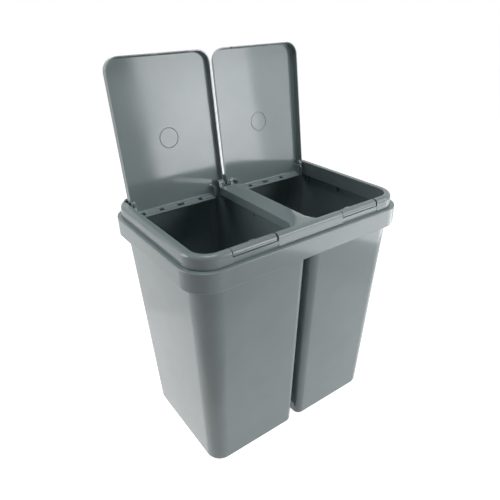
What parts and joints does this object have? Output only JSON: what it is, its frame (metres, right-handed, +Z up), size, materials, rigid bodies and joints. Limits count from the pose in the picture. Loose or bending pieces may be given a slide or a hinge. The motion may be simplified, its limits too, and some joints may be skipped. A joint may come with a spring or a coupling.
{
  "type": "double recycling bin",
  "caption": "Free-standing twin waste-sorting bin: drafted buckets joined under a shared rim, with a lift-off lid frame, hinged lids and sprung latches.",
  "frame": {"origin": "on the floor, midway between the two buckets and midway between front and back of the rim", "axes": "+X to the right along the front as a user sees it, +Y from the front to the back, +Z up; the lids stand open at rest"},
  "size_m": [0.461, 0.322, 0.7214],
  "materials": {
    "tub_plastic": "moulded polypropylene, silver grey, satin to gloss",
    "frame_plastic": "moulded polypropylene, silver grey, satin to gloss",
    "lid_plastic": "moulded polypropylene, silver grey, satin to gloss",
    "latch_plastic": "moulded polypropylene, silver grey, satin to gloss"
  },
  "bodies": {
    "tub": {"twin_tub": "tub_plastic"},
    "frame": {"lid_frame": "frame_plastic"},
    "left_lid": {"left_lid": "lid_plastic"},
    "right_lid": {"right_lid": "lid_plastic"},
    "left_latch": {"left_latch": "latch_plastic"},
    "right_latch": {"right_latch": "latch_plastic"}
  },
  "joints": [
    {"name": "frame_lift", "type": "slide", "parent": "tub", "child": "frame", "axis": [0, 0, 1], "range_m": [0, 0.05]},
    {"name": "left_lid_hinge", "type": "hinge", "parent": "frame", "child": "left_lid", "pos_m": [-0.104, 0.113, 0.4705], "axis": [1, 0, 0], "range_deg": [0, 96.9]},
    {"name": "right_lid_hinge", "type": "hinge", "parent": "frame", "child": "right_lid", "pos_m": [0.104, 0.113, 0.4705], "axis": [1, 0, 0], "range_deg": [0, 96.9]},
    {"name": "left_latch_pull", "type": "slide", "parent": "frame", "child": "left_latch", "axis": [0, -1, 0], "range_m": [0, 0.003], "stiffness_N_per_m": 800, "springref_m": -0.002},
    {"name": "right_latch_pull", "type": "slide", "parent": "frame", "child": "right_latch", "axis": [0, -1, 0], "range_m": [0, 0.003], "stiffness_N_per_m": 800, "springref_m": -0.002}
  ]
}
